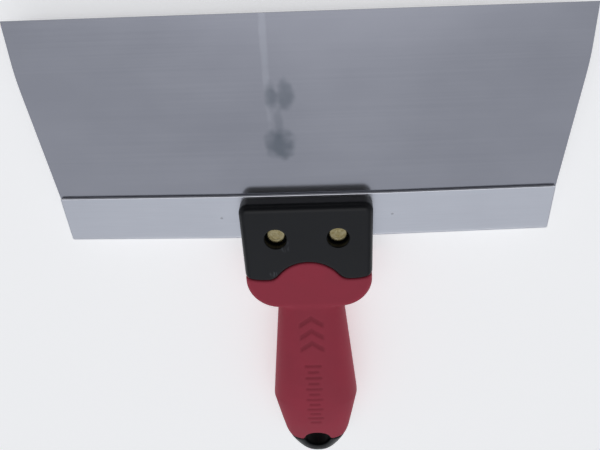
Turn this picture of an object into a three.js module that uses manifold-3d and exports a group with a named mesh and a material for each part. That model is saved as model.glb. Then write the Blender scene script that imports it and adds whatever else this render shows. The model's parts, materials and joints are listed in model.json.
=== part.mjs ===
// An 8 inch drywall taping knife, lying on its back.
//
// Frame: millimetres, +Z up. +Y points from the hanging hole to the working edge, X runs along the edge.
// The origin is below the middle of the tool, level with the underside of the grip.
//
// A thin spring steel blade is held in a folded steel backer. The head of a hard plastic core closes on
// both of them from above and below, and two brass compression rivets go through all of it. A soft grip is
// moulded round the rear of the head and the tang of the core, and leaves the core's tip bare.

import * as THREE from 'three';
import { mergeVertices } from 'three/addons/utils/BufferGeometryUtils.js';
import Module from 'manifold-3d';

// Overall
const BLADE_WIDTH = 203.2;
const OVERALL_LENGTH = 208;
const GRIP_THICKNESS = 26;
const EDGE_Y = OVERALL_LENGTH / 2;
const TIP_Y = -OVERALL_LENGTH / 2;
const MIDPLANE_Z = GRIP_THICKNESS / 2;

// Clearances between pieces
const SEAM = 0.3;
const SHEET_GAP = 0.15;
const SEAT_GAP = 0.2;

// How far a cutting shape runs past the faces it cuts
const OVERCUT = 5;

// Blade
const BLADE_THICKNESS = 0.5;
const EDGE_THICKNESS = 0.24;
const EDGE_GRIND = 2.5;
const SIDE_BEND_START = 14;
const SIDE_BEND_END = 26;
const SIDE_TAPER = 0.106;

// Backer: a steel strip folded in half over the rear of the blade
const BACKER_SETBACK = 69.1;
const BACKER_DEPTH = 19.4;
const BACKER_THICKNESS = 3.4;
const BACKER_END_TAPER = 0.053;
const BACKER_END_INSET = 0.4;
const BACKER_FRONT_Y = EDGE_Y - BACKER_SETBACK;
const BACKER_REAR_Y = BACKER_FRONT_Y - BACKER_DEPTH;

// The wings of the blade and backer fall away from the head, and the working edge stays straight
const WING_START = 26;
const WING_BLEND = 8;
const WING_SLOPE = 0.0325;

// Head
const HEAD_WIDTH = 51.4;
const HEAD_TAPER = 0.5;
const HEAD_THICKNESS = 20.5;
const HEAD_FILLET = 3;
const HEAD_FRONT_Y = BACKER_FRONT_Y - 0.5;
const HEAD_REAR_Y = EDGE_Y - 117.3;
const HEAD_FRONT_CORNER = 3.6;
const HEAD_REAR_CORNER = 13;

// Grip
const GRIP_START_Y = EDGE_Y - 106;
const NECK_Y = EDGE_Y - 120;
const SWELL_Y = EDGE_Y - 170;
const TIP_ROUND_Y = EDGE_Y - 190;
const NECK_HALF_WIDTH = 13.8;
const SWELL_HALF_WIDTH = 18.8;
const TIP_HALF_WIDTH = 15;
const SWELL_BLEND = 0.6;
const TIP_EDGE_ROUND = 4.5;
const GRIP_ROUNDNESS = 2.35;

// Side profile of the grip: distance behind the working edge, and half thickness there
const SIDE_PROFILE = [
  [106, 8.6],
  [120, 10.1],
  [143, 12.1],
  [164, GRIP_THICKNESS / 2],
  [180, 11.1],
  [192, 7.8],
  [208, 3.4],
];

// Soft grip over the core
const SKIN = 2.2;
const ARCH_TOP_Y = EDGE_Y - 94.7;
const ARCH_RADIUS = 15.1;
const ARCH_FOOT_ANGLE = 35;
const NOTCH_Y = EDGE_Y - 102.8;
const NOTCH_CURL_X = 13.7;
const NOTCH_INNER_X = 15.6;
const NOTCH_OUTER_X = 17.5;
const SHOULDER_BEND_X = 22.5;
const SHOULDER_SEAM_Y = EDGE_Y - 99;
const TIP_SEAM_Y = EDGE_Y - 196.2;

// Hanging hole
const HOLE_Y = EDGE_Y - 195.9;
const HOLE_DIAMETER = 11.4;

// Rivets
const RIVET_SPACING = 24.2;
const RIVET_Y = EDGE_Y - 83.8;
const RIVET_HEAD_DIAMETER = 7.7;
const RIVET_HEAD_HEIGHT = 1.2;
const RIVET_CHAMFER = 0.5;
const RIVET_SHANK_DIAMETER = 4.6;
const RIVET_PIN_DIAMETER = 2.6;
const RIVET_END_GAP = 1;
const RECESS_DIAMETER = 8.6;
const RECESS_DEPTH = 4.8;

// Facets
const WIDTH_STATIONS = 22;
const RING_POINTS = 28;
const ROUND_FACETS = 24;

// Numerical: how close points are to be joined, and halvings used to find a station on a curve
const WELD_DISTANCE = 1e-4;
const HALVINGS = 30;

const wasm = await Module();
wasm.setup();

const steelBlade = new THREE.MeshStandardMaterial({ color: 0x8a8c96, roughness: 0.34, metalness: 1 });
const steelBacker = new THREE.MeshStandardMaterial({ color: 0xb4b8c4, roughness: 0.42, metalness: 1 });
const blackPlastic = new THREE.MeshStandardMaterial({ color: 0x26282c, roughness: 0.5, metalness: 0 });
const redRubber = new THREE.MeshStandardMaterial({ color: 0x823440, roughness: 0.68, metalness: 0 });
const brass = new THREE.MeshStandardMaterial({ color: 0xa2925f, roughness: 0.38, metalness: 1 });

// Solids and meshes

function toSolid(geometry) {
  const bare = geometry.clone();
  bare.deleteAttribute('normal');
  bare.deleteAttribute('uv');
  const merged = mergeVertices(bare, WELD_DISTANCE);
  const vertProperties = new Float32Array(merged.getAttribute('position').array);
  const triVerts = new Uint32Array(merged.getIndex().array);
  return new wasm.Manifold(new wasm.Mesh({ numProp: 3, vertProperties, triVerts }));
}

function toMesh(name, solid, material) {
  const { vertProperties, triVerts } = solid.getMesh();
  const geometry = new THREE.BufferGeometry();
  geometry.setAttribute('position', new THREE.BufferAttribute(vertProperties, 3));
  geometry.setIndex(new THREE.BufferAttribute(triVerts, 1));
  geometry.computeVertexNormals();
  const mesh = new THREE.Mesh(geometry, material);
  mesh.name = name;
  return mesh;
}

function geometryFrom(positions, triangles) {
  const geometry = new THREE.BufferGeometry();
  geometry.setAttribute('position', new THREE.Float32BufferAttribute(positions, 3));
  geometry.setIndex(triangles);
  return geometry;
}

function uprightCylinder(diameter, bottomZ, topZ, x, y) {
  const radius = diameter / 2;
  const geometry = new THREE.CylinderGeometry(radius, radius, topZ - bottomZ, ROUND_FACETS);
  geometry.rotateX(Math.PI / 2);
  geometry.translate(x, y, (topZ + bottomZ) / 2);
  return toSolid(geometry);
}

// Sheet steel: the blade and the backer share their side outline and their droop

function steelHalfWidth(y) {
  const behind = EDGE_Y - y;
  const bend = SIDE_BEND_END - SIDE_BEND_START;
  const intoBend = THREE.MathUtils.clamp(behind - SIDE_BEND_START, 0, bend);
  const pastBend = THREE.MathUtils.clamp(behind, SIDE_BEND_END, BACKER_SETBACK) - SIDE_BEND_END;
  const inBacker = Math.max(0, behind - BACKER_SETBACK);
  const bladeTaper = SIDE_TAPER * (intoBend ** 2 / (2 * bend) + pastBend);
  return BLADE_WIDTH / 2 - bladeTaper - BACKER_END_TAPER * inBacker;
}

function wingDroop(x, y) {
  const outboard = Math.max(0, Math.abs(x) - WING_START);
  const eased = outboard < WING_BLEND ? outboard ** 2 / (2 * WING_BLEND) : outboard - WING_BLEND / 2;
  const fade = (EDGE_Y - y) / (EDGE_Y - BACKER_REAR_Y);
  return WING_SLOPE * fade * eased;
}

// Sweeps a folded or flat sheet section along the width. The section is a list of pairs of points in
// Y and Z, one on each face of the sheet, that run from its first cut edge to its last. The sheet's ends
// stop short of the side outline by inset.
function sweptSheet(pairs, inset = 0) {
  const positions = [];
  const triangles = [];
  const quad = (a, b, c, d) => triangles.push(a, b, c, a, c, d);
  const at = (station, pair, side) => (station * pairs.length + pair) * 2 + side;
  const lastPair = pairs.length - 1;

  for (let station = 0; station <= WIDTH_STATIONS; station += 1) {
    const across = (2 * station) / WIDTH_STATIONS - 1;
    for (const faces of pairs) {
      for (const [y, z] of faces) {
        const x = across * (steelHalfWidth(y) - inset);
        positions.push(x, y, MIDPLANE_Z + z - wingDroop(x, y));
      }
    }
  }
  for (let station = 0; station < WIDTH_STATIONS; station += 1) {
    const next = station + 1;
    for (let pair = 0; pair < lastPair; pair += 1) {
      quad(at(station, pair, 0), at(station, pair + 1, 0), at(next, pair + 1, 0), at(next, pair, 0));
      quad(at(station, pair, 1), at(next, pair, 1), at(next, pair + 1, 1), at(station, pair + 1, 1));
    }
    quad(at(station, 0, 0), at(next, 0, 0), at(next, 0, 1), at(station, 0, 1));
    quad(at(station, lastPair, 0), at(station, lastPair, 1), at(next, lastPair, 1), at(next, lastPair, 0));
  }
  for (let pair = 0; pair < lastPair; pair += 1) {
    const far = WIDTH_STATIONS;
    quad(at(0, pair, 0), at(0, pair, 1), at(0, pair + 1, 1), at(0, pair + 1, 0));
    quad(at(far, pair, 0), at(far, pair + 1, 0), at(far, pair + 1, 1), at(far, pair, 1));
  }
  return toSolid(geometryFrom(positions, triangles));
}

function bladeSolid() {
  const half = BLADE_THICKNESS / 2;
  const edgeHalf = EDGE_THICKNESS / 2;
  const rearY = BACKER_REAR_Y + BACKER_THICKNESS / 2;
  const bendSteps = 4;
  const pairs = [[[EDGE_Y, edgeHalf], [EDGE_Y, -edgeHalf]]];
  const addRow = (y) => pairs.push([[y, half], [y, -half]]);

  addRow(EDGE_Y - EDGE_GRIND);
  for (let step = 0; step <= bendSteps; step += 1) {
    addRow(EDGE_Y - THREE.MathUtils.lerp(SIDE_BEND_START, SIDE_BEND_END, step / bendSteps));
  }
  addRow((EDGE_Y - SIDE_BEND_END + BACKER_FRONT_Y) / 2);
  addRow(BACKER_FRONT_Y);
  addRow(rearY);
  return sweptSheet(pairs);
}

function backerSolid() {
  const outer = BACKER_THICKNESS / 2;
  const inner = BLADE_THICKNESS / 2 + SHEET_GAP;
  const foldY = BACKER_REAR_Y + outer;
  const foldSteps = 8;
  const pairs = [[[BACKER_FRONT_Y, outer], [BACKER_FRONT_Y, inner]]];

  for (let step = 0; step <= foldSteps; step += 1) {
    const angle = Math.PI / 2 + (Math.PI * step) / foldSteps;
    const point = (radius) => [foldY + radius * Math.cos(angle), radius * Math.sin(angle)];
    pairs.push([point(outer), point(inner)]);
  }
  pairs.push([[BACKER_FRONT_Y, -outer], [BACKER_FRONT_Y, -inner]]);
  return sweptSheet(pairs, BACKER_END_INSET);
}

// Handle

function headOutline() {
  const half = HEAD_WIDTH / 2;
  const front = HEAD_FRONT_Y - HEAD_FRONT_CORNER;
  const rear = HEAD_REAR_Y + HEAD_REAR_CORNER;
  const rearX = half - HEAD_TAPER - HEAD_REAR_CORNER;
  const shape = new THREE.Shape();
  shape.absarc(half - HEAD_FRONT_CORNER, front, HEAD_FRONT_CORNER, 0, Math.PI / 2);
  shape.absarc(HEAD_FRONT_CORNER - half, front, HEAD_FRONT_CORNER, Math.PI / 2, Math.PI);
  shape.absarc(-rearX, rear, HEAD_REAR_CORNER, Math.PI, 1.5 * Math.PI);
  shape.absarc(rearX, rear, HEAD_REAR_CORNER, 1.5 * Math.PI, 2 * Math.PI);
  return shape;
}

// The head, with every face moved in by inset.
function headSolid(inset) {
  const depth = HEAD_THICKNESS - 2 * HEAD_FILLET;
  const fillet = HEAD_FILLET - inset;
  const geometry = new THREE.ExtrudeGeometry(headOutline(), {
    depth,
    curveSegments: 8,
    bevelThickness: fillet,
    bevelSize: fillet,
    bevelOffset: -HEAD_FILLET,
    bevelSegments: 3,
  });
  geometry.translate(0, 0, MIDPLANE_Z - depth / 2);
  return toSolid(geometry);
}

// Half width of the grip: a straight flare to the swell, a straight taper, and an elliptic end.
function gripHalfWidth(y) {
  const flare = (SWELL_HALF_WIDTH - NECK_HALF_WIDTH) / (NECK_Y - SWELL_Y);
  const taper = (SWELL_HALF_WIDTH - TIP_HALF_WIDTH) / (SWELL_Y - TIP_ROUND_Y);
  const past = SWELL_Y - y;
  const intoBlend = THREE.MathUtils.clamp(past + SWELL_BLEND, 0, 2 * SWELL_BLEND);
  const pastBlend = Math.max(0, past - SWELL_BLEND);
  const turned = intoBlend ** 2 / (4 * SWELL_BLEND) + pastBlend;
  const sides = SWELL_HALF_WIDTH + flare * past - (flare + taper) * turned;
  const intoTip = Math.max(0, TIP_ROUND_Y - y) / (TIP_ROUND_Y - TIP_Y);
  return sides * Math.sqrt(Math.max(0, 1 - intoTip ** 2));
}

// Half thickness of the grip, from its side profile, with the edge of the tip rounded off.
const sideProfile = new THREE.SplineCurve(
  SIDE_PROFILE.map(([behind, halfThickness]) => new THREE.Vector2(EDGE_Y - behind, halfThickness)),
);

function gripHalfThickness(y) {
  let before = 0;
  let after = 1;
  for (let pass = 0; pass < HALVINGS; pass += 1) {
    const middle = (before + after) / 2;
    if (sideProfile.getPoint(middle).x > y) {
      before = middle;
    } else {
      after = middle;
    }
  }
  const profile = Math.min(sideProfile.getPoint(before).y, GRIP_THICKNESS / 2);
  const intoEdge = Math.max(0, TIP_Y + TIP_EDGE_ROUND - y) / TIP_EDGE_ROUND;
  return profile * Math.sqrt(Math.max(0, 1 - intoEdge ** 2));
}

// One rounded section of the grip, from -1 to 1 each way, with a flat across each side and across its
// top and bottom, so that the grip lies steady.
function unitRing() {
  const rounded = (value) => Math.sign(value) * Math.abs(value) ** (2 / GRIP_ROUNDNESS);
  const extent = rounded(Math.cos(Math.PI / RING_POINTS));
  const ring = [];
  for (let point = 0; point < RING_POINTS; point += 1) {
    const angle = (2 * Math.PI * (point + 0.5)) / RING_POINTS;
    ring.push([rounded(Math.cos(angle)) / extent, rounded(Math.sin(angle)) / extent]);
  }
  return ring;
}

// Lofts rounded sections from the head to the tip, with every face moved in by inset.
function gripSolid(inset) {
  const flareSteps = 7;
  const swellSteps = 4;
  const taperSteps = 4;
  const tipSteps = 9;
  const bodyYs = [];
  const span = (from, to, steps) => {
    for (let step = 0; step < steps; step += 1) {
      bodyYs.push(THREE.MathUtils.lerp(from, to, step / steps));
    }
  };
  span(GRIP_START_Y, SWELL_Y + SWELL_BLEND, flareSteps);
  span(SWELL_Y + SWELL_BLEND, SWELL_Y - SWELL_BLEND, swellSteps);
  span(SWELL_Y - SWELL_BLEND, TIP_ROUND_Y, taperSteps);
  for (let step = 0; step < tipSteps; step += 1) {
    bodyYs.push(TIP_ROUND_Y + (TIP_Y - TIP_ROUND_Y) * Math.sin((Math.PI / 2) * (step / tipSteps)));
  }

  const section = unitRing();
  const positions = [0, GRIP_START_Y, MIDPLANE_Z];
  const triangles = [];
  for (const y of bodyYs) {
    const scale = (TIP_ROUND_Y - TIP_Y - inset) / (TIP_ROUND_Y - TIP_Y);
    const ringY = y > TIP_ROUND_Y ? y : TIP_ROUND_Y + (y - TIP_ROUND_Y) * scale;
    const trim = inset * Math.sqrt(gripHalfWidth(y) / gripHalfWidth(TIP_ROUND_Y));
    const halfWidth = gripHalfWidth(y) - Math.min(inset, trim);
    const halfThickness = gripHalfThickness(y) - Math.min(inset, trim);
    for (const [x, z] of section) {
      positions.push(x * halfWidth, ringY, MIDPLANE_Z + z * halfThickness);
    }
  }
  positions.push(0, TIP_Y + inset, MIDPLANE_Z);

  const tipPole = 1 + bodyYs.length * RING_POINTS;
  const at = (ring, point) => 1 + ring * RING_POINTS + (point % RING_POINTS);
  const lastRing = bodyYs.length - 1;
  for (let point = 0; point < RING_POINTS; point += 1) {
    triangles.push(0, at(0, point + 1), at(0, point));
    triangles.push(tipPole, at(lastRing, point), at(lastRing, point + 1));
    for (let ring = 0; ring < lastRing; ring += 1) {
      triangles.push(at(ring, point), at(ring, point + 1), at(ring + 1, point + 1));
      triangles.push(at(ring, point), at(ring + 1, point + 1), at(ring + 1, point));
    }
  }
  return toSolid(geometryFrom(positions, triangles));
}

function handleSolid(inset) {
  return headSolid(inset).add(gripSolid(inset));
}

// The space in plan that the soft grip covers, drawn back from the bare plastic by seam. Its front edge
// is a central arch between two shallow notches, and its rear edge runs straight across the hanging hole.
function coverSolid(seam) {
  const wide = HEAD_WIDTH / 2 + OVERCUT;
  const archY = ARCH_TOP_Y - ARCH_RADIUS;
  const archRadius = ARCH_RADIUS - seam;
  const archFoot = THREE.MathUtils.degToRad(ARCH_FOOT_ANGLE);
  const archFootX = archRadius * Math.cos(archFoot);
  const archFootY = archY + archRadius * Math.sin(archFoot);
  const notchY = NOTCH_Y - seam;
  const shoulderY = SHOULDER_SEAM_Y - seam;
  const tipY = TIP_SEAM_Y + seam;

  const shape = new THREE.Shape();
  shape.moveTo(-wide, shoulderY);
  shape.quadraticCurveTo(-SHOULDER_BEND_X, notchY, -NOTCH_OUTER_X, notchY);
  shape.lineTo(-NOTCH_INNER_X, notchY);
  shape.quadraticCurveTo(-NOTCH_CURL_X, notchY, -archFootX, archFootY);
  shape.absarc(0, archY, archRadius, Math.PI - archFoot, archFoot, true);
  shape.quadraticCurveTo(NOTCH_CURL_X, notchY, NOTCH_INNER_X, notchY);
  shape.lineTo(NOTCH_OUTER_X, notchY);
  shape.quadraticCurveTo(SHOULDER_BEND_X, notchY, wide, shoulderY);
  shape.lineTo(wide, tipY);
  shape.lineTo(-wide, tipY);
  const depth = 2 * GRIP_THICKNESS;
  const geometry = new THREE.ExtrudeGeometry(shape, { depth, curveSegments: 10, bevelEnabled: false });
  geometry.translate(0, 0, MIDPLANE_Z - depth / 2);
  return toSolid(geometry);
}

function hangingHole() {
  return uprightCylinder(HOLE_DIAMETER, -OVERCUT, GRIP_THICKNESS + OVERCUT, 0, HOLE_Y);
}

function bladeSlot() {
  const rear = BACKER_REAR_Y - SEAM;
  const front = HEAD_FRONT_Y + OVERCUT;
  const width = HEAD_WIDTH + 2 * OVERCUT;
  const box = new THREE.BoxGeometry(width, front - rear, BACKER_THICKNESS + 2 * SEAT_GAP);
  box.translate(0, (front + rear) / 2, MIDPLANE_Z);
  return toSolid(box);
}

function handleCoreSolid() {
  let core = handleSolid(0).subtract(coverSolid(0)).add(handleSolid(SKIN));
  core = core.subtract(bladeSlot()).subtract(hangingHole());
  for (const x of rivetXs) {
    const floor = HEAD_THICKNESS / 2 - RECESS_DEPTH;
    const shaftDiameter = RIVET_SHANK_DIAMETER + 2 * SEAM;
    core = core
      .subtract(uprightCylinder(RECESS_DIAMETER, MIDPLANE_Z + floor, GRIP_THICKNESS, x, RIVET_Y))
      .subtract(uprightCylinder(RECESS_DIAMETER, 0, MIDPLANE_Z - floor, x, RIVET_Y))
      .subtract(uprightCylinder(shaftDiameter, 0, GRIP_THICKNESS, x, RIVET_Y));
  }
  return core;
}

function softGripSolid() {
  const cover = handleSolid(0).intersect(coverSolid(SEAM));
  return cover.subtract(handleSolid(SKIN - SEAM)).subtract(hangingHole());
}

// Rivets

const rivetXs = [-RIVET_SPACING / 2, RIVET_SPACING / 2];
const rivetSeat = HEAD_THICKNESS / 2 - RECESS_DEPTH + SEAT_GAP;
const rivetCrown = rivetSeat + RIVET_HEAD_HEIGHT;

function pierced(sheet) {
  const diameter = RIVET_SHANK_DIAMETER + 2 * SEAM;
  return rivetXs.reduce(
    (rest, x) => rest.subtract(uprightCylinder(diameter, 0, GRIP_THICKNESS, x, RIVET_Y)),
    sheet,
  );
}

function latheSolid(profile, x) {
  const points = profile.map(([radius, height]) => new THREE.Vector2(radius, height));
  const geometry = new THREE.LatheGeometry(points, ROUND_FACETS);
  geometry.rotateX(Math.PI / 2);
  geometry.translate(x, RIVET_Y, MIDPLANE_Z);
  return toSolid(geometry);
}

// The upper half of a rivet: a flat head on a shank, bored from below for the pin.
function rivetSleeve(x) {
  const headRadius = RIVET_HEAD_DIAMETER / 2;
  const shankRadius = RIVET_SHANK_DIAMETER / 2;
  const boreRadius = RIVET_PIN_DIAMETER / 2 + SEAM;
  const boreTop = rivetSeat - RIVET_END_GAP;
  const shankEnd = RIVET_END_GAP - rivetSeat;
  return latheSolid([
    [0, boreTop],
    [boreRadius, boreTop],
    [boreRadius, shankEnd],
    [shankRadius, shankEnd],
    [shankRadius, rivetSeat],
    [headRadius, rivetSeat],
    [headRadius, rivetCrown - RIVET_CHAMFER],
    [headRadius - RIVET_CHAMFER, rivetCrown],
    [0, rivetCrown],
  ], x);
}

// The lower half: the same head on the solid pin that is pressed into the sleeve.
function rivetPin(x) {
  const headRadius = RIVET_HEAD_DIAMETER / 2;
  const pinRadius = RIVET_PIN_DIAMETER / 2;
  const pinEnd = rivetSeat - RIVET_END_GAP - SEAM;
  return latheSolid([
    [0, -rivetCrown],
    [headRadius - RIVET_CHAMFER, -rivetCrown],
    [headRadius, RIVET_CHAMFER - rivetCrown],
    [headRadius, -rivetSeat],
    [pinRadius, -rivetSeat],
    [pinRadius, pinEnd],
    [0, pinEnd],
  ], x);
}

// Assembly

const tapingKnife = new THREE.Group();
tapingKnife.add(
  toMesh('blade', pierced(bladeSolid()), steelBlade),
  toMesh('backer', pierced(backerSolid()), steelBacker),
  toMesh('handle_core', handleCoreSolid(), blackPlastic),
  toMesh('soft_grip', softGripSolid(), redRubber),
);
rivetXs.forEach((x, index) => {
  const side = ['left', 'right'][index];
  tapingKnife.add(
    toMesh(`rivet_sleeve_${side}`, rivetSleeve(x), brass),
    toMesh(`rivet_pin_${side}`, rivetPin(x), brass),
  );
});

export default tapingKnife;
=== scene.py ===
"""The looks of an 8 inch drywall taping knife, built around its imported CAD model.

Blender works in metres. The shapes here are worked out in millimetres in the CAD model's frame, and are
turned into metres when their meshes are made. +Y points from the hanging hole to the working edge, X runs
along the edge and +Z is up. The knife lies on its back.
"""

import json
import math

import bpy
import numpy as np
from mathutils import Euler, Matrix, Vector


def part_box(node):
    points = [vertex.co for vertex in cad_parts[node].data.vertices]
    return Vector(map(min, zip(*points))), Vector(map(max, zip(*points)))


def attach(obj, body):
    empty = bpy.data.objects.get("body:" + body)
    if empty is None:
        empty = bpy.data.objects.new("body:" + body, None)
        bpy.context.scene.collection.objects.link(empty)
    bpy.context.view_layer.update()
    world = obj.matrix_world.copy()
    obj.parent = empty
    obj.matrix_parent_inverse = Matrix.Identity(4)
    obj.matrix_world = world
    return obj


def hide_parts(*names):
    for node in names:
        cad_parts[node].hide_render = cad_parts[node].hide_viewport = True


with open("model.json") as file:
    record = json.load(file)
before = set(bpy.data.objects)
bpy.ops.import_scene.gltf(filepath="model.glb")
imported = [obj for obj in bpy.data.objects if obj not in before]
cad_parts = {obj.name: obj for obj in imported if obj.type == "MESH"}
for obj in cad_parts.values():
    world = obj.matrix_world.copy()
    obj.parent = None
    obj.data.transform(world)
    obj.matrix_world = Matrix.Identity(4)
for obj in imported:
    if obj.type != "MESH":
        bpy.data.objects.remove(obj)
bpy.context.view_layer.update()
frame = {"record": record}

record = frame["record"]

MM = 0.001


def box_mm(node):
    """The lowest and highest corners of a CAD node, in millimetres."""
    return [np.array(corner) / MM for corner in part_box(node)]


# Sizes and places that the frame gives, in millimetres
mounts = {mount["name"]: np.array(mount["pos_m"]) / MM for mount in record["mounts"]}
hole_low, hole_high = (np.array(corner) / MM for corner in record["physics"]["openings"][0]["box_m"])
_, blade_high = box_mm("blade")
backer_low, backer_high = box_mm("backer")
core_low, core_high = box_mm("handle_core")
grip_low, grip_high = box_mm("soft_grip")
sleeve_low, sleeve_high = box_mm("rivet_sleeve_right")

EDGE_Y = blade_high[1]
TIP_Y = core_low[1]
MIDPLANE_Z = (grip_low[2] + grip_high[2]) / 2
BLADE_HALF_WIDTH = blade_high[0]
BLADE_HALF_THICKNESS = blade_high[2] - MIDPLANE_Z
BACKER_FRONT_Y = backer_high[1]
BACKER_REAR_Y = backer_low[1]
BACKER_HALF_THICKNESS = backer_high[2] - MIDPLANE_Z
HEAD_HALF_WIDTH = core_high[0]
HEAD_FRONT_Y = core_high[1]
HEAD_HALF_THICKNESS = mounts["head_front_face"][2] - MIDPLANE_Z
GRIP_HALF_THICKNESS = (grip_high[2] - grip_low[2]) / 2
HOLE_Y = (hole_low[1] + hole_high[1]) / 2
RIVET_X, RIVET_Y = ((sleeve_low + sleeve_high) / 2)[:2]
RIVET_HEAD_RADIUS = (sleeve_high[0] - sleeve_low[0]) / 2
RIVET_CROWN_Z = sleeve_high[2] - MIDPLANE_Z

# Sheet steel
EDGE_HALF_THICKNESS = 0.19
EDGE_GRIND = 2.5
SIDE_BEND_START = 14
SIDE_BEND_END = 26
SIDE_TAPER = 0.106
BACKER_END_TAPER = 0.053
BACKER_END_INSET = 0.4
SHEET_GAP = 0.03
WING_START = 26
WING_BLEND = 8
WING_SLOPE = 0.0325
FOLD_STEPS = 16
BLADE_BEVEL = 0.06
BACKER_BEVEL = 0.3
CLINCH_X = 33.5
CLINCH_Y = EDGE_Y - 78.5
CLINCH_RADIUS = 0.5
CLINCH_REACH = 0.9
CLINCH_DEPTH = 0.1

# Handle
HEAD_REAR_Y = EDGE_Y - 117.3
HEAD_TAPER = 0.5
HEAD_FILLET = 3
HEAD_FRONT_CORNER = 3.6
HEAD_REAR_CORNER = 13
NECK_BLEND = 1.6
GRIP_START_Y = EDGE_Y - 106
NECK_Y = EDGE_Y - 120
SWELL_Y = EDGE_Y - 170
TIP_ROUND_Y = EDGE_Y - 190
NECK_HALF_WIDTH = 13.8
SWELL_HALF_WIDTH = 18.8
TIP_HALF_WIDTH = 15
SWELL_BLEND = 0.6
TIP_EDGE_ROUND = 4.5
GRIP_ROUNDNESS = 2.35
SIDE_PROFILE = [  # distance behind the working edge, and half thickness there
    (106, 8.6),
    (120, 10.1),
    (143, 12.1),
    (164, GRIP_HALF_THICKNESS),
    (180, 11.1),
    (192, 7.8),
    (208, 3.4),
]

# Soft grip over the core
SEAM = 0.3
SEAM_EDGE_ROUND = 0.9
SKIN = 2.2
ARCH_TOP_Y = EDGE_Y - 94.7
ARCH_RADIUS = 15.1
NOTCH_Y = EDGE_Y - 102.8
NOTCH_BLEND = 2.6
SHOULDER_START_X = 17.5
SHOULDER_RISE = 1.6
TIP_SEAM_Y = EDGE_Y - 196.2

# Openings in the handle
SLOT_CLEARANCE = 0.2
SLOT_EDGE_ROUND = 0.5
RECESS_RADIUS = 4.3
RECESS_DEPTH = 4.8
RECESS_EDGE_ROUND = 0.35
SHAFT_RADIUS = 2.6
HOLE_RADIUS = 5.7
HOLE_EDGE_ROUND = 1.8

# Marks sunk in the grip: chevrons by the neck, then a row of bars of two lengths
MARK_DEPTH = 0.28
MARK_SOFTNESS = 0.5
CHEVRON_STARTS = [122, 128, 134]
CHEVRON_REACH = 5
CHEVRON_SLOPE = 0.75
CHEVRON_STROKE = 1.9
BAR_START = 146
BAR_PITCH = 3.1
BAR_STROKE = 1.3
BAR_REACHES = [3.6, 2.4] * 6
BAR_CORNER = 0.5

# Rivets
RIVET_SEAT_Z = 5.65
RIVET_SHANK_RADIUS = 2.3
RIVET_PIN_RADIUS = 1.3
RIVET_END_GAP = 1
RIVET_EDGE_ROUND = 0.7
RIVET_FACETS = 72
RIVET_FACE = [  # distance from the axis, and height above the crown
    (0, -0.14),
    (1, -0.14),
    (1.5, -0.06),
    (1.8, 0),
    (2.1, -0.08),
    (2.4, 0),
    (RIVET_HEAD_RADIUS - RIVET_EDGE_ROUND, 0),
]

# Colours: linear red, green, blue and alpha, and in pairs from the darker to the lighter cloud
BLADE_COLOURS = [(0.4, 0.405, 0.45, 1), (0.445, 0.45, 0.495, 1)]
# A painted highlight streak on the blade
BLADE_HIGHLIGHT_COLOUR = (0.8, 0.82, 0.87, 1)
# Dark smudges on the blade, partly stain and partly painted reflection
BLADE_STAIN_AND_REFLECTION_COLOUR = (0.12, 0.15, 0.18, 1)
BACKER_COLOURS = [(0.72, 0.735, 0.79, 1), (0.76, 0.775, 0.83, 1)]
# Painted shade in the backer's clinch dents
CLINCH_SHADE_COLOUR = (0.1, 0.1, 0.1, 1)
PLASTIC_COLOURS = [(0.0035, 0.0042, 0.006, 1), (0.0055, 0.0062, 0.0085, 1)]
SCUFF_COLOUR = (0.12, 0.13, 0.145, 1)
RUBBER_COLOURS = [(0.415, 0.041, 0.071, 1), (0.455, 0.046, 0.079, 1)]
# Painted shade in the grip's sunk marks
RUBBER_MARK_SHADE_COLOUR = (0.22, 0.015, 0.031, 1)
BRASS_COLOUR = (0.5, 0.43, 0.25, 1)
TARNISH_COLOUR = (0.34, 0.27, 0.11, 1)
FLOOR_COLOUR = (0.9, 0.9, 0.9, 1)
WHITE = (1, 1, 1, 1)

# Faint marks on the steel, a painted highlight streak and then dark smudges that are partly stain and partly
# painted reflection: place in millimetres, reach each way, strength, and colour
BLADE_MARKS_AND_PAINTED_LIGHT = [
    (-12, 96, 1.7, 42, 0.16, BLADE_HIGHLIGHT_COLOUR),
    (-10.8, 74.4, 2.8, 6.6, 0.5, BLADE_STAIN_AND_REFLECTION_COLOUR),
    (-5.6, 74.6, 4, 7.6, 0.5, BLADE_STAIN_AND_REFLECTION_COLOUR),
    (-8.6, 64, 2.2, 8, 0.25, BLADE_STAIN_AND_REFLECTION_COLOUR),
    (-8.7, 55.6, 6.6, 8, 0.65, BLADE_STAIN_AND_REFLECTION_COLOUR),
]
# Painted shade in the clinch dents: place in millimetres, reach each way, strength, and colour
BACKER_PAINTED_SHADE = [
    (-CLINCH_X, CLINCH_Y, 0.8, 0.8, 0.45, CLINCH_SHADE_COLOUR),
    (CLINCH_X, CLINCH_Y, 0.8, 0.8, 0.45, CLINCH_SHADE_COLOUR),
]

# Pale scuffs on the head: place in millimetres, then reach each way
SCUFFS = [
    (-8.4, 16.8, 2, 3.4),
    (-13.4, 4.3, 2.6, 1.6),
]
SCUFF_STRENGTH = 0.6

# How much painted shade darkens the grip's sunk marks, and how uneven the outline of a spot is
RUBBER_MARK_SHADE_STRENGTH = 0.45
SPOT_UNEVENNESS = 0.2

# Between these values the noise on the steel goes from one of its two colours to the other
STEEL_WEAR = (0.36, 0.64)

# How far behind its front the strip starts to turn dull, and where it is fully dull
CUT_EDGE_START = 0.08
CUT_EDGE_FULL = 0.02
CUT_EDGE_ROUGHNESS = 0.4

# How far outside the hanging hole the plastic reaches its full gloss, and its gloss inside and outside
GLOSS_BLEND = 0.5
HOLE_GLOSS = 0.04
PLASTIC_GLOSS = 0.38

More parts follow.
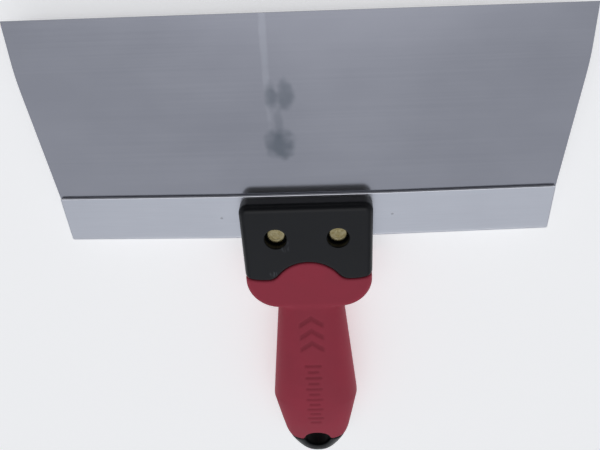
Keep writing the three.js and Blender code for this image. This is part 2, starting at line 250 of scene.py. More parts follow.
# Studio. The floor is in millimetres. A patch of sky has a direction, the angles from it where the patch
# ends and where it is full, and a colour. A softbox has a name, a place along Y and Z in metres, and a power
# in watts.
FLOOR_HALF_SIZE = 2000
FLOOR_GLOW = 0.41
WALL_COLOUR = (0.24, 0.25, 0.27, 1)
SKY_PATCHES = [
    ((0, -0.3, 1), 66, 30, (0.54, 0.56, 0.6, 1)),
    ((0, 0.1, 1), 28, 14, (0.72, 0.74, 0.79, 1)),
    ((0, 1.73, 1), 55, 38, (0.04, 0.04, 0.04, 1)),
]
SOFTBOX_SIZE = (1.4, 0.4)
SOFTBOXES = [
    ("overhead_softbox", 0.36, 1.2, 2),
    ("rear_softbox", -1.25, 0.8, 1.2),
]

# Camera: sensor and lens in millimetres, shift in sensor widths, place in metres and turn in degrees
CAMERA_SENSOR = 36
CAMERA_LENS = 42.19
CAMERA_SHIFT = (-0.0313, -0.0027)
CAMERA_PLACE = (0.01227, 0.15989, 0.25459)
CAMERA_TURN = (-29.902, 0.641, -2.075)

# Mesh density, in millimetres
HANDLE_CELL = 0.5
SHEET_STEP = 2.5
CLINCH_STEP = 0.15

# Edges sharper than these, in degrees, are bevelled or shaded as creases
BEVEL_ANGLE = 40
SHEET_CREASE_ANGLE = 15
RIVET_CREASE_ANGLE = 50


# Meshes


def add_mesh(name, points, faces, crease_angle=180):
    """A mesh object from points in millimetres, shaded smooth but for edges sharper than the angle."""
    mesh = bpy.data.meshes.new(name)
    mesh.from_pydata((np.array(points) * MM).tolist(), [], [list(face) for face in faces])
    mesh.shade_smooth()
    mesh.set_sharp_from_angle(angle=math.radians(crease_angle))
    piece = bpy.data.objects.new(name, mesh)
    bpy.context.scene.collection.objects.link(piece)
    return piece


def with_modifier(piece, kind, **settings):
    """The piece with one modifier applied to its mesh."""
    modifier = piece.modifiers.new(kind.lower(), kind)
    for name, value in settings.items():
        setattr(modifier, name, value)
    graph = bpy.context.evaluated_depsgraph_get()
    old = piece.data
    piece.data = bpy.data.meshes.new_from_object(piece.evaluated_get(graph))
    piece.data.name = old.name
    piece.modifiers.clear()
    bpy.data.meshes.remove(old)
    return piece


def finish_piece(piece, node, material):
    """Gives the piece its material and its place in the frame."""
    piece.data.materials.clear()
    piece.data.materials.append(material)
    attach(piece, "root")
    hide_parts(node)


# Sheet steel: the blade and the backer share their side outline and their droop


def steel_half_width(y):
    behind = EDGE_Y - y
    bend = SIDE_BEND_END - SIDE_BEND_START
    setback = EDGE_Y - BACKER_FRONT_Y
    into_bend = np.clip(behind - SIDE_BEND_START, 0, bend)
    past_bend = np.clip(behind, SIDE_BEND_END, setback) - SIDE_BEND_END
    in_backer = np.maximum(behind - setback, 0)
    blade_taper = SIDE_TAPER * (into_bend**2 / (2 * bend) + past_bend)
    return BLADE_HALF_WIDTH - blade_taper - BACKER_END_TAPER * in_backer


def wing_droop(x, y):
    outboard = np.maximum(np.abs(x) - WING_START, 0)
    eased = np.where(outboard < WING_BLEND, outboard**2 / (2 * WING_BLEND), outboard - WING_BLEND / 2)
    return WING_SLOPE * eased * (EDGE_Y - y) / (EDGE_Y - BACKER_REAR_Y)


def clinch_dent(x, y):
    away = np.hypot(np.abs(x) - CLINCH_X, y - CLINCH_Y) / CLINCH_RADIUS
    return CLINCH_DEPTH * np.exp(-(away**4))


def spaced(start, end, step):
    """Evenly spaced values from start to end, no further apart than step."""
    return np.linspace(start, end, max(2, math.ceil(abs(end - start) / step) + 1))


def clinch_spaced(values, centre):
    """The values, with a finer stretch round a clinch."""
    fine = spaced(centre - CLINCH_REACH, centre + CLINCH_REACH, CLINCH_STEP)
    coarse = [value for value in values if abs(value - centre) > CLINCH_REACH + CLINCH_STEP]
    return np.sort(np.concatenate([coarse, fine]))


def swept_sheet(name, pairs, across, inset=0, dent=None):
    """A sheet swept along X. Each pair of (y, z) points is one row of its two faces, from one cut edge to the
    other. The places in across are along the sheet's rear, and they spread towards the working edge. The
    sheet's ends stop short of the side outline by inset, and dent says how deep the backer's outer faces are
    pressed in at a place."""
    rows = np.array(pairs)
    share = np.array(across) / np.max(across)
    y = np.broadcast_to(rows[:, :, 0], (len(share), *rows.shape[:2]))
    z = np.broadcast_to(rows[:, :, 1], y.shape).copy()
    x = share[:, None, None] * (steel_half_width(y) - inset)
    if dent:
        flat = np.abs(z) == BACKER_HALF_THICKNESS
        z -= np.where(flat, np.sign(z) * dent(x, y), 0)
    points = np.stack([x, y, MIDPLANE_Z + z - wing_droop(x, y)], axis=-1).reshape(-1, 3)

    last, far = len(rows) - 1, len(share) - 1

    def at(station, row, side):
        return (station * len(rows) + row) * 2 + side

    faces = []
    for station in range(far):
        on = station + 1
        for row in range(last):
            faces.append([at(station, row, 0), at(station, row + 1, 0), at(on, row + 1, 0), at(on, row, 0)])
            faces.append([at(station, row, 1), at(on, row, 1), at(on, row + 1, 1), at(station, row + 1, 1)])
        faces.append([at(station, 0, 0), at(on, 0, 0), at(on, 0, 1), at(station, 0, 1)])
        faces.append([at(station, last, 0), at(station, last, 1), at(on, last, 1), at(on, last, 0)])
    for row in range(last):
        faces.append([at(0, row, 0), at(0, row, 1), at(0, row + 1, 1), at(0, row + 1, 0)])
        faces.append([at(far, row, 0), at(far, row + 1, 0), at(far, row + 1, 1), at(far, row, 1)])
    return add_mesh(name, points, faces)


def softened(piece, width):
    """The piece with its sharp edges broken by a small bevel."""
    with_modifier(
        piece,
        "BEVEL",
        width=width * MM,
        segments=2,
        limit_method="ANGLE",
        angle_limit=math.radians(BEVEL_ANGLE),
        harden_normals=False,
    )
    piece.data.shade_smooth()
    piece.data.set_sharp_from_angle(angle=math.radians(SHEET_CREASE_ANGLE))
    return piece


def build_blade():
    half = BLADE_HALF_THICKNESS
    rear_y = BACKER_REAR_Y + BACKER_HALF_THICKNESS
    rows = [EDGE_Y - EDGE_GRIND]
    rows += list(spaced(EDGE_Y - SIDE_BEND_START, EDGE_Y - SIDE_BEND_END, SHEET_STEP))
    rows += list(spaced(EDGE_Y - SIDE_BEND_END, BACKER_FRONT_Y, 2 * SHEET_STEP)[1:])
    rows.append(rear_y)
    pairs = [[(EDGE_Y, EDGE_HALF_THICKNESS), (EDGE_Y, -EDGE_HALF_THICKNESS)]]
    pairs += [[(y, half), (y, -half)] for y in rows]
    rear_half_width = steel_half_width(BACKER_REAR_Y)
    sheet = swept_sheet("steel_blade", pairs, spaced(-rear_half_width, rear_half_width, SHEET_STEP))
    return softened(sheet, BLADE_BEVEL)


def build_backer():
    outer = BACKER_HALF_THICKNESS
    inner = BLADE_HALF_THICKNESS + SHEET_GAP
    fold_y = BACKER_REAR_Y + outer
    leg_rows = clinch_spaced(spaced(fold_y, BACKER_FRONT_Y, SHEET_STEP), CLINCH_Y)
    top_leg = [[(y, outer), (y, inner)] for y in leg_rows[::-1]]
    bottom_leg = [[(y, -outer), (y, -inner)] for y in leg_rows]
    fold = [
        [(fold_y + radius * math.cos(angle), radius * math.sin(angle)) for radius in (outer, inner)]
        for angle in np.linspace(math.pi / 2, 1.5 * math.pi, FOLD_STEPS + 1)[1:-1]
    ]
    rear_half_width = steel_half_width(BACKER_REAR_Y) - BACKER_END_INSET
    across = spaced(-rear_half_width, rear_half_width, SHEET_STEP)
    for centre in (-CLINCH_X, CLINCH_X):
        across = clinch_spaced(across, centre)
    pairs = top_leg + fold + bottom_leg
    strip = swept_sheet("folded_backer", pairs, across, BACKER_END_INSET, clinch_dent)
    return softened(strip, BACKER_BEVEL)


# Handle: distances to its surface, below zero inside, with z measured from the midplane


def soft_min(a, b, blend):
    """The smaller of two distances, with the corner between them rounded."""
    overlap = np.maximum(blend - np.abs(a - b), 0)
    return np.minimum(a, b) - overlap**2 / (4 * blend)


def soft_max(a, b, blend):
    return -soft_min(-a, -b, blend)


def round_corner(a, b, radius):
    """The distance to the inside of a square corner between two faces, rounded to a true radius."""
    a, b = a + radius, b + radius
    return np.hypot(np.maximum(a, 0), np.maximum(b, 0)) + np.minimum(np.maximum(a, b), 0) - radius


def smooth_curve(points):
    """A smooth function through a few (position, value) points."""
    at, value = np.array(points, float).T
    slope = np.gradient(value, at)

    def curve(position):
        position = np.clip(position, at[0], at[-1])
        span = np.clip(np.searchsorted(at, position) - 1, 0, len(at) - 2)
        width = at[span + 1] - at[span]
        t = (position - at[span]) / width
        start = (1 + 2 * t) * value[span] + t * width * slope[span]
        end = (3 - 2 * t) * value[span + 1] - (1 - t) * width * slope[span + 1]
        return (1 - t) ** 2 * start + t**2 * end

    return curve


side_profile = smooth_curve(SIDE_PROFILE)


def head_distance(x, y, z):
    middle_y = (HEAD_FRONT_Y + HEAD_REAR_Y) / 2
    half_length = (HEAD_FRONT_Y - HEAD_REAR_Y) / 2
    taper = HEAD_TAPER * np.clip((HEAD_FRONT_Y - y) / (2 * half_length), 0, 1)
    corner = np.where(y > middle_y, HEAD_FRONT_CORNER, HEAD_REAR_CORNER)
    plan = round_corner(np.abs(x) - HEAD_HALF_WIDTH + taper, np.abs(y - middle_y) - half_length, corner)
    return round_corner(plan, np.abs(z) - HEAD_HALF_THICKNESS, HEAD_FILLET)


def grip_half_width(y):
    """A straight flare to the swell, a straight taper, and an elliptic end."""
    flare = (SWELL_HALF_WIDTH - NECK_HALF_WIDTH) / (NECK_Y - SWELL_Y)
    taper = (SWELL_HALF_WIDTH - TIP_HALF_WIDTH) / (SWELL_Y - TIP_ROUND_Y)
    past = SWELL_Y - y
    into_blend = np.clip(past + SWELL_BLEND, 0, 2 * SWELL_BLEND)
    turned = into_blend**2 / (4 * SWELL_BLEND) + np.maximum(past - SWELL_BLEND, 0)
    sides = SWELL_HALF_WIDTH + flare * past - (flare + taper) * turned
    into_tip = np.clip((TIP_ROUND_Y - y) / (TIP_ROUND_Y - TIP_Y), 0, 1)
    return sides * np.sqrt(1 - into_tip**2)


def grip_half_thickness(y):
    """The side profile, with the edge of the tip rounded off."""
    profile = np.minimum(side_profile(EDGE_Y - y), GRIP_HALF_THICKNESS)
    into_edge = np.clip((TIP_Y + TIP_EDGE_ROUND - y) / TIP_EDGE_ROUND, 0, 1)
    return profile * np.sqrt(1 - into_edge**2)


def grip_distance(x, y, z):
    smallest = 0.01
    power = GRIP_ROUNDNESS
    half_width = np.maximum(grip_half_width(y), smallest)
    half_thickness = np.maximum(grip_half_thickness(y), smallest)
    across = np.abs(x) / half_width
    up = np.abs(z) / half_thickness
    reach = np.maximum(across**power + up**power, smallest) ** (1 / power)
    slope = np.hypot(across ** (power - 1) / half_width, up ** (power - 1) / half_thickness)
    least_slope = 0.5 / np.maximum(half_width, half_thickness)
    sides = (reach - 1) / np.maximum(slope / reach ** (power - 1), least_slope)
    return np.maximum(np.maximum(sides, y - GRIP_START_Y), TIP_Y - y)


def handle_distance(x, y, z):
    return soft_min(head_distance(x, y, z), grip_distance(x, y, z), NECK_BLEND)


def cover_distance(x, y):
    """Below zero where the soft grip covers the core, in plan. Its front edge is a central arch between two
    shallow notches, and its rear edge runs straight across the hanging hole."""
    arch = np.hypot(x, y - (ARCH_TOP_Y - ARCH_RADIUS)) - ARCH_RADIUS
    past_notch = np.maximum(np.abs(x) - SHOULDER_START_X, 0) / (HEAD_HALF_WIDTH - SHOULDER_START_X)
    shoulders = y - NOTCH_Y - SHOULDER_RISE * past_notch**2
    return np.maximum(soft_min(arch, shoulders, NOTCH_BLEND), TIP_SEAM_Y - y)


def mark_depth(x, y):
    """How deep the sunk marks are, in plan."""
    nearest = np.full(np.broadcast(x, y).shape, np.inf)
    behind = EDGE_Y - y
    for start in CHEVRON_STARTS:
        stroke = np.abs(behind - start - CHEVRON_SLOPE * np.abs(x)) / math.hypot(1, CHEVRON_SLOPE)
        chevron = np.maximum(stroke - CHEVRON_STROKE / 2, np.abs(x) - CHEVRON_REACH)
        nearest = np.minimum(nearest, chevron)
    for index, reach in enumerate(BAR_REACHES):
        stroke = np.abs(behind - BAR_START - index * BAR_PITCH)
        bar = round_corner(stroke - BAR_STROKE / 2, np.abs(x) - reach, BAR_CORNER)
        nearest = np.minimum(nearest, bar)
    return MARK_DEPTH * np.clip(0.5 - nearest / MARK_SOFTNESS, 0, 1)


def hole_distance(x, y):
    return np.hypot(x, y - HOLE_Y) - HOLE_RADIUS


def soft_grip_distance(x, y, z):
    outside = handle_distance(x, y, z)
    marked = outside + np.where(z > 0, mark_depth(x, y), 0)
    sleeve = soft_max(marked, cover_distance(x, y) + SEAM, SEAM_EDGE_ROUND)
    sleeve = np.maximum(sleeve, SEAM - SKIN - outside)
    return soft_max(sleeve, -hole_distance(x, y), HOLE_EDGE_ROUND)


def core_distance(x, y, z):
    outside = handle_distance(x, y, z)
    bare = soft_max(outside, -cover_distance(x, y), SEAM_EDGE_ROUND)
    core = np.minimum(bare, outside + SKIN)
    slot_height = np.abs(z) - BACKER_HALF_THICKNESS - SLOT_CLEARANCE
    core = soft_max(core, -np.maximum(slot_height, BACKER_REAR_Y - SEAM - y), SLOT_EDGE_ROUND)
    from_rivet = np.hypot(np.abs(x) - RIVET_X, y - RIVET_Y)
    recess_floor = HEAD_HALF_THICKNESS - RECESS_DEPTH
    recess = np.maximum(from_rivet - RECESS_RADIUS, recess_floor - np.abs(z))
    core = soft_max(core, -recess, RECESS_EDGE_ROUND)
    core = np.maximum(core, SHAFT_RADIUS - from_rivet)
    return soft_max(core, -hole_distance(x, y), HOLE_EDGE_ROUND)


def grid_surface(distance, low, high, cell):
    """Points and four-sided faces of the surface where the distance is zero. Each grid cell that the surface
    passes through gets one point, in the middle of where the surface crosses that cell's edges."""
    axes = [np.arange(start - 2 * cell, end + 3 * cell, cell) for start, end in zip(low, high)]
    field = distance(*np.meshgrid(*axes, indexing="ij", sparse=True))
    crossing_points, rings = [], []
    for along in range(3):
        first = field[tuple(slice(None, -1) if axis == along else slice(None) for axis in range(3))]
        second = field[tuple(slice(1, None) if axis == along else slice(None) for axis in range(3))]
        crossed = (first < 0) != (second < 0)
        start = np.argwhere(crossed)
        first, second = first[crossed], second[crossed]
        point = start.astype(float)
        point[:, along] += first / (first - second)
        ring = []
        for step_a, step_b in ((0, 0), (-1, 0), (-1, -1), (0, -1)):
            cell_index = start.copy()
            cell_index[:, (along + 1) % 3] += step_a
            cell_index[:, (along + 2) % 3] += step_b
            ring.append(np.ravel_multi_index(cell_index.T, field.shape))
        ring = np.stack(ring, axis=1)
        ring[first >= 0] = ring[first >= 0, ::-1]
        crossing_points.append(point)
        rings.append(ring)
    crossing_points, rings = np.concatenate(crossing_points), np.concatenate(rings)
    cells, faces = np.unique(rings, return_inverse=True)
    faces = faces.reshape(-1, 4)
    count = np.bincount(faces.ravel())
    points = np.stack(
        [np.bincount(faces.ravel(), np.repeat(crossing_points[:, axis], 4)) / count for axis in range(3)],
        axis=1,
    )
    origin = np.array([axis[0] for axis in axes])
    return origin + points * cell, faces


def pulled_to_surface(distance, points, cell):
    """The points, each moved along the slope of the distance until it lies on the surface."""
    probe = cell / 10
    longest_move = cell / 2
    least_steepness = 0.1
    least_length = 1e-9
    for _ in range(3):
        value = distance(*points.T)
        slope = np.stack(
            [
                (distance(*(points + offset).T) - distance(*(points - offset).T)) / (2 * probe)
                for offset in np.eye(3) * probe
            ],
            axis=1,
        )
        steepness = np.maximum((slope**2).sum(axis=1), least_steepness)
        move = slope * (value / steepness)[:, None]
        length = np.maximum(np.linalg.norm(move, axis=1), least_length)
        points = points - move * np.minimum(1, longest_move / length)[:, None]
    return points


def moulded(name, distance, low, high):
    """A smooth closed piece from a distance function, inside the box of its CAD node."""
    middle = np.array([0, 0, MIDPLANE_Z])
    points, faces = grid_surface(distance, low - middle, high - middle, HANDLE_CELL)
    points = pulled_to_surface(distance, points, HANDLE_CELL) + middle
    return add_mesh(name, np.clip(points, low, high), faces)


def with_marks(piece):
    """The piece with a "sunk" value on each point: 1 at the bottom of the marks, and 0 away from them."""
    points = np.array([vertex.co for vertex in piece.data.vertices]) / MM
    sunk = np.where(points[:, 2] > MIDPLANE_Z, mark_depth(points[:, 0], points[:, 1]) / MARK_DEPTH, 0)
    attribute = piece.data.attributes.new("sunk", "FLOAT", "POINT")
    attribute.data.foreach_set("value", sunk.astype(np.float32))
    return piece


# Rivets


def turned(name, profile, x):
    """A round piece from a profile of (radius, height) points that starts and ends on the axis."""
    points, faces, rings = [], [], []
    turns = np.linspace(0, 2 * math.pi, RIVET_FACETS, endpoint=False)
    for radius, height in profile:
        around = turns[:1] if radius == 0 else turns
        rings.append(range(len(points), len(points) + len(around)))
        for turn in around:
            points.append((
                x + radius * math.cos(turn),
                RIVET_Y + radius * math.sin(turn),
                MIDPLANE_Z + height,
            ))
    for lower, upper in zip(rings, rings[1:]):
        for index in range(RIVET_FACETS):
            after = (index + 1) % RIVET_FACETS
            corners = [
                lower[index % len(lower)],
                lower[after % len(lower)],
                upper[after % len(upper)],
                upper[index % len(upper)],
            ]
            faces.append(list(dict.fromkeys(corners)))
    return add_mesh(name, points, faces, RIVET_CREASE_ANGLE)


def rivet_crown():
    """The visible face of a rivet head, from its centre to its rim: a shallow dish with a ring, a flat and a
    rounded edge."""
    flat = RIVET_HEAD_RADIUS - RIVET_EDGE_ROUND
    rim = [
        (flat + RIVET_EDGE_ROUND * math.sin(angle), RIVET_EDGE_ROUND * (math.cos(angle) - 1))
        for angle in np.linspace(0, math.pi / 2, 6)[1:]
    ]
    return [(radius, RIVET_CROWN_Z + height) for radius, height in RIVET_FACE + rim]


def build_rivet_sleeve(name, x):
    bore_radius = RIVET_PIN_RADIUS + SEAM
    bore_top = RIVET_SEAT_Z - RIVET_END_GAP
    shank_end = RIVET_END_GAP - RIVET_SEAT_Z
    shank = [
        (0, bore_top),
        (bore_radius, bore_top),
        (bore_radius, shank_end),
        (RIVET_SHANK_RADIUS, shank_end),
        (RIVET_SHANK_RADIUS, RIVET_SEAT_Z),
        (RIVET_HEAD_RADIUS, RIVET_SEAT_Z),
    ]
    return turned(name, shank + rivet_crown()[::-1], x)


def build_rivet_pin(name, x):
    pin_end = RIVET_SEAT_Z - RIVET_END_GAP - SEAM
    crown = [(radius, -height) for radius, height in rivet_crown()]
    pin = [
        (RIVET_HEAD_RADIUS, -RIVET_SEAT_Z),
        (RIVET_PIN_RADIUS, -RIVET_SEAT_Z),
        (RIVET_PIN_RADIUS, pin_end),
        (0, pin_end),
    ]
    return turned(name, crown + pin, x)


# Materials


def new_material(name, sockets):
    """A material with one Principled shader, and those of its sockets set."""
    material = bpy.data.materials.new(name)
    material.use_nodes = True
    shader = material.node_tree.nodes["Principled BSDF"]
    for socket, value in sockets.items():
        shader.inputs[socket].default_value = value
    return material, material.node_tree, shader


def set_input(tree, socket, value):
    """Sets an input to a value, or joins it to another node's output."""
    if isinstance(value, bpy.types.NodeSocket):
        tree.links.new(value, socket)
    else:
        socket.default_value = value


def add_node(tree, kind, inputs, **settings):
    """A shader node, with its settings, and with its inputs set by name."""
    node = tree.nodes.new("ShaderNode" + kind)
    for name, value in settings.items():
        setattr(node, name, value)
    for name, value in inputs.items():
        set_input(tree, node.inputs[name], value)
    return node


def calculation(tree, kind, operation, a, b):
    """A Math or VectorMath node that works on a and b."""
    node = add_node(tree, kind, {}, operation=operation)
    for socket, value in zip(node.inputs, (a, b)):
        set_input(tree, socket, value)
    return node


def arithmetic(tree, operation, a, b):
    return calculation(tree, "Math", operation, a, b).outputs["Value"]


def total(tree, terms):
    """The sum of (weight, value) terms."""
    result = 0
    for weight, value in terms:
        result = arithmetic(tree, "ADD", result, arithmetic(tree, "MULTIPLY", value, weight))
    return result


def remap(tree, value, low, high, to_low=0, to_high=1, shape="LINEAR"):
    """The value moved from one range to another, and held within the new one."""
    inputs = {"Value": value, "From Min": low, "From Max": high, "To Min": to_low, "To Max": to_high}
    return add_node(tree, "MapRange", inputs, interpolation_type=shape).outputs["Result"]


def blend_colours(tree, share, a, b):
    """Colour a where the share is 0, and colour b where it is 1."""
    node = add_node(tree, "Mix", {}, data_type="RGBA")
    sockets = {socket.identifier: socket for socket in (*node.inputs, *node.outputs)}
    set_input(tree, sockets["Factor_Float"], share)
    set_input(tree, sockets["A_Color"], a)
    set_input(tree, sockets["B_Color"], b)
    return sockets["Result_Color"]


def object_place(tree):
    """The place on the object, in metres."""
    return add_node(tree, "TexCoord", {}).outputs["Object"]


def noise(tree, per_metre, detail=3, seed=0):
    """Noise from 0 to 1 over the object, with that many features per metre along X, Y and Z."""
    inputs = {"Vector": object_place(tree), "Scale": per_metre, "Location": [seed] * 3}
    stretched = add_node(tree, "Mapping", inputs).outputs["Vector"]
    texture = add_node(tree, "TexNoise", {"Vector": stretched, "Scale": 1, "Detail": detail})
    return texture.outputs["Fac"]


def spot(tree, x, y, half_width, half_length):
    """1 at a place on the upper side, given in millimetres, fading to 0 outside an uneven ellipse."""
    place = add_node(tree, "SeparateXYZ", {"Vector": object_place(tree)}).outputs
    squares = []
    for axis, centre, reach in (("X", x, half_width), ("Y", y, half_length)):
        away = arithmetic(tree, "SUBTRACT", place[axis], centre * MM)
        share = arithmetic(tree, "MULTIPLY", away, 1 / (reach * MM))
        squares.append(arithmetic(tree, "POWER", share, 2))
    blotches = noise(tree, (240, 240, 240), detail=1, seed=13)
    uneven = remap(tree, blotches, 0.3, 0.7, -SPOT_UNEVENNESS, SPOT_UNEVENNESS)
    away = arithmetic(tree, "ADD", arithmetic(tree, "ADD", *squares), uneven)
    upper_side = arithmetic(tree, "GREATER_THAN", place["Z"], MIDPLANE_Z * MM)
    return arithmetic(tree, "MULTIPLY", remap(tree, away, 0, 1, 1, 0, "SMOOTHSTEP"), upper_side)


def marked(tree, colour, marks):
    """The colour, with each mark laid over it in turn; the marks are stains, painted highlight, painted
    reflection and painted shade.
    """
    for *place, strength, mark_and_light_colour in marks:
        share = arithmetic(tree, "MULTIPLY", spot(tree, *place), strength)
        colour = blend_colours(tree, share, colour, mark_and_light_colour)
    return colour


def join_shader(tree, shader, sockets):
    """Joins each named socket of the shader to another node's output."""
    for name, output in sockets.items():
        tree.links.new(output, shader.inputs[name])


def bump(tree, height, distance, strength):
    """A bumpy surface, with its distance in millimetres."""
    inputs = {"Height": height, "Distance": distance * MM, "Strength": strength}
    return add_node(tree, "Bump", inputs).outputs["Normal"]


def blade_material():
    """Spring steel ground along the working edge: fine scratches along X, faint cloudy stains, a painted
    highlight streak, and dark smudges that are partly stain and partly painted reflection.
    """
    material, tree, shader = new_material("blade_steel", {"Metallic": 1})
    scratches = noise(tree, (12, 1500, 12), detail=1)
    bands = noise(tree, (4, 170, 4), detail=2, seed=7)
    clouds = noise(tree, (22, 34, 22), detail=4, seed=3)
    wear = total(tree, [(0.1, bands), (0.7, clouds), (0.2, scratches)])
    colour = blend_colours(tree, remap(tree, wear, *STEEL_WEAR), *BLADE_COLOURS)
    join_shader(tree, shader, {
        # The streak is painted highlight, and the dark smudges are partly stain and partly painted reflection
        "Base Color": marked(tree, colour, BLADE_MARKS_AND_PAINTED_LIGHT),
        "Roughness": remap(tree, wear, *STEEL_WEAR, 0.15, 0.21),
    })
    return material


def backer_material():
    """Bright rolled strip, with a dull sheared front edge and painted shade in the clinch dents."""
    material, tree, shader = new_material("backer_steel", {})
    grain = noise(tree, (30, 1400, 1400), detail=4)
    clouds = noise(tree, (30, 30, 30), detail=3, seed=5)
    wear = total(tree, [(0.4, grain), (0.6, clouds)])
    colour = blend_colours(tree, remap(tree, wear, *STEEL_WEAR), *BACKER_COLOURS)
    along = add_node(tree, "SeparateXYZ", {"Vector": object_place(tree)}).outputs["Y"]
    bright_end = (BACKER_FRONT_Y - CUT_EDGE_START) * MM
    dull_start = (BACKER_FRONT_Y - CUT_EDGE_FULL) * MM
    sheared = remap(tree, along, bright_end, dull_start)
    bright_roughness = remap(tree, wear, *STEEL_WEAR, 0.3, 0.38)
    join_shader(tree, shader, {
        # Painted shade in the clinch dents
        "Base Color": marked(tree, colour, BACKER_PAINTED_SHADE),
        "Roughness": total(tree, [(1, bright_roughness), (CUT_EDGE_ROUGHNESS, sheared)]),
        "Metallic": remap(tree, sheared, 0, 1, 1, 0),
    })
    return material


def plastic_material():
    """Black moulded plastic: a fine spark-eroded texture, light scuffs, and dull inside the hanging hole."""
    material, tree, shader = new_material("black_plastic", {})
    texture = noise(tree, (2600, 2600, 2600), detail=3)
    clouds = noise(tree, (60, 60, 60), detail=4, seed=11)
    clouded = remap(tree, clouds, 0.3, 0.7)
    streaks = remap(tree, noise(tree, (900, 260, 900), detail=3, seed=21), 0.45, 0.65)
    scuffed = 0
    for scuff in SCUFFS:
        scuffed = arithmetic(tree, "MAXIMUM", scuffed, spot(tree, *scuff))
    scuffed = arithmetic(tree, "MULTIPLY", scuffed, streaks)
    share = arithmetic(tree, "MULTIPLY", scuffed, SCUFF_STRENGTH)
    base = blend_colours(tree, clouded, *PLASTIC_COLOURS)

    in_plan = calculation(tree, "VectorMath", "MULTIPLY", object_place(tree), (1, 1, 0)).outputs["Vector"]
    hole_centre = (0, HOLE_Y * MM, 0)
    from_hole = calculation(tree, "VectorMath", "DISTANCE", in_plan, hole_centre).outputs["Value"]
    rim = HOLE_RADIUS * MM
    join_shader(tree, shader, {
        "Base Color": blend_colours(tree, share, base, SCUFF_COLOUR),
        "Roughness": remap(tree, clouded, 0, 1, 0.36, 0.44),
        "Specular IOR Level": remap(tree, from_hole, rim, rim + GLOSS_BLEND * MM, HOLE_GLOSS, PLASTIC_GLOSS),
        "Normal": bump(tree, texture, 0.03, 0.5),
    })
    return material


def rubber_material():
    """Matte red soft-touch rubber, a little dusty, and darker in its sunk marks with painted shade."""
    material, tree, shader = new_material("red_rubber", {"Specular IOR Level": 0.35})
    texture = noise(tree, (2200, 2200, 2200), detail=4, seed=2)
    clouds = noise(tree, (70, 70, 70), detail=5, seed=9)
    clouded = remap(tree, clouds, 0.32, 0.68)
    base = blend_colours(tree, clouded, *RUBBER_COLOURS)
    sunk = add_node(tree, "Attribute", {}, attribute_name="sunk").outputs["Fac"]
    # The sunk marks are darkened with painted shade
    share = arithmetic(tree, "MULTIPLY", sunk, RUBBER_MARK_SHADE_STRENGTH)
    join_shader(tree, shader, {
        "Base Color": blend_colours(tree, share, base, RUBBER_MARK_SHADE_COLOUR),
        "Roughness": remap(tree, clouded, 0, 1, 0.66, 0.76),
        "Normal": bump(tree, texture, 0.04, 0.5),
    })
    return material


def brass_material():
    """Dull pressed brass, with a little tarnish."""
    material, tree, shader = new_material("rivet_brass", {"Metallic": 1})
    tarnish = noise(tree, (700, 700, 700), detail=5, seed=4)
    grain = noise(tree, (5000, 5000, 5000), detail=2, seed=6)
    tarnished = remap(tree, tarnish, 0.35, 0.7)
    join_shader(tree, shader, {
        "Base Color": blend_colours(tree, tarnished, BRASS_COLOUR, TARNISH_COLOUR),
        "Roughness": remap(tree, tarnished, 0, 1, 0.24, 0.36),
        "Normal": bump(tree, grain, 0.02, 0.4),
    })
    return material


# The knife


def build_knife():
    finish_piece(build_blade(), "blade", blade_material())
    finish_piece(build_backer(), "backer", backer_material())
    core = moulded("plastic_core", core_distance, core_low, core_high)
    finish_piece(core, "handle_core", plastic_material())
    sleeve = with_marks(moulded("rubber_grip", soft_grip_distance, grip_low, grip_high))
    finish_piece(sleeve, "soft_grip", rubber_material())
    brass = brass_material()
    for side, x in (("left", -RIVET_X), ("right", RIVET_X)):
        rivet_sleeve = build_rivet_sleeve(f"{side}_rivet_sleeve", x)
        finish_piece(rivet_sleeve, f"rivet_sleeve_{side}", brass)
        rivet_pin = build_rivet_pin(f"{side}_rivet_pin", x)
        finish_piece(rivet_pin, f"rivet_pin_{side}", brass)


# The studio


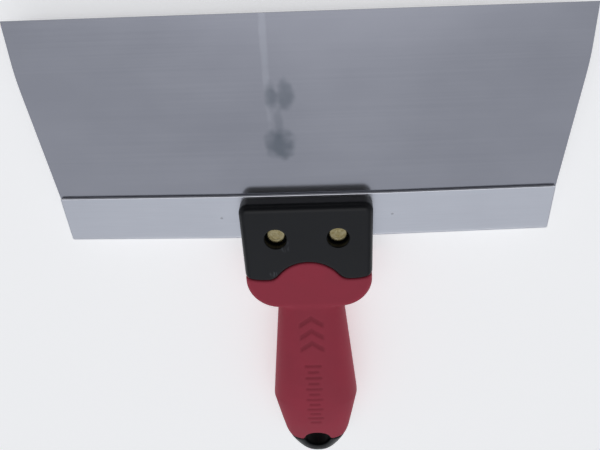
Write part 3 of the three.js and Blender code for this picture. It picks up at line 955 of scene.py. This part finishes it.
def build_floor():
    material, _, _ = new_material("pale_floor", {
        "Base Color": FLOOR_COLOUR,
        "Roughness": 0.9,
        "Specular IOR Level": 0.1,
        "Emission Color": WHITE,
        "Emission Strength": FLOOR_GLOW,
    })
    half = FLOOR_HALF_SIZE
    points = [(-half, -half, 0), (half, -half, 0), (half, half, 0), (-half, half, 0)]
    floor = add_mesh("floor", points, [(0, 1, 2, 3)])
    floor.data.materials.append(material)


def facing(tree, towards, outer_angle, inner_angle):
    """1 in the part of the sky within an inner angle of a direction, fading to 0 at an outer angle."""
    direction = add_node(tree, "TexCoord", {}).outputs["Generated"]
    centre = Vector(towards).normalized()
    closeness = calculation(tree, "VectorMath", "DOT_PRODUCT", direction, centre).outputs["Value"]
    outer, inner = (math.cos(math.radians(angle)) for angle in (outer_angle, inner_angle))
    return remap(tree, closeness, outer, inner, shape="SMOOTHSTEP")


def build_sky():
    """A soft room: grey walls, a ceiling that is lightest overhead, and darkness behind the camera."""
    world = bpy.data.worlds.new("studio")
    bpy.context.scene.world = world
    world.use_nodes = True
    tree = world.node_tree
    colour = WALL_COLOUR
    for towards, outer_angle, inner_angle, patch_colour in SKY_PATCHES:
        share = facing(tree, towards, outer_angle, inner_angle)
        colour = blend_colours(tree, share, colour, patch_colour)
    tree.links.new(colour, tree.nodes["Background"].inputs["Color"])


def add_softbox(name, y, z, energy):
    """A long soft light, level along X and turned to face the knife."""
    light = bpy.data.lights.new(name, "AREA")
    light.shape = "RECTANGLE"
    light.size, light.size_y = SOFTBOX_SIZE
    light.energy = energy
    lamp = bpy.data.objects.new(name, light)
    lamp.location = (0, y, z)
    lamp.rotation_euler.x = math.atan2(-y, z)
    bpy.context.scene.collection.objects.link(lamp)


def add_camera():
    camera = bpy.data.cameras.new("camera")
    camera.sensor_width = CAMERA_SENSOR
    camera.lens = CAMERA_LENS
    camera.shift_x, camera.shift_y = CAMERA_SHIFT
    camera.clip_start = 0.01
    view = bpy.data.objects.new("camera", camera)
    view.location = CAMERA_PLACE
    view.rotation_euler = Euler(math.radians(angle) for angle in CAMERA_TURN)
    bpy.context.scene.collection.objects.link(view)
    bpy.context.scene.camera = view


build_knife()
build_floor()
build_sky()
for softbox in SOFTBOXES:
    add_softbox(*softbox)
add_camera()
bpy.context.scene.view_settings.view_transform = "Standard"
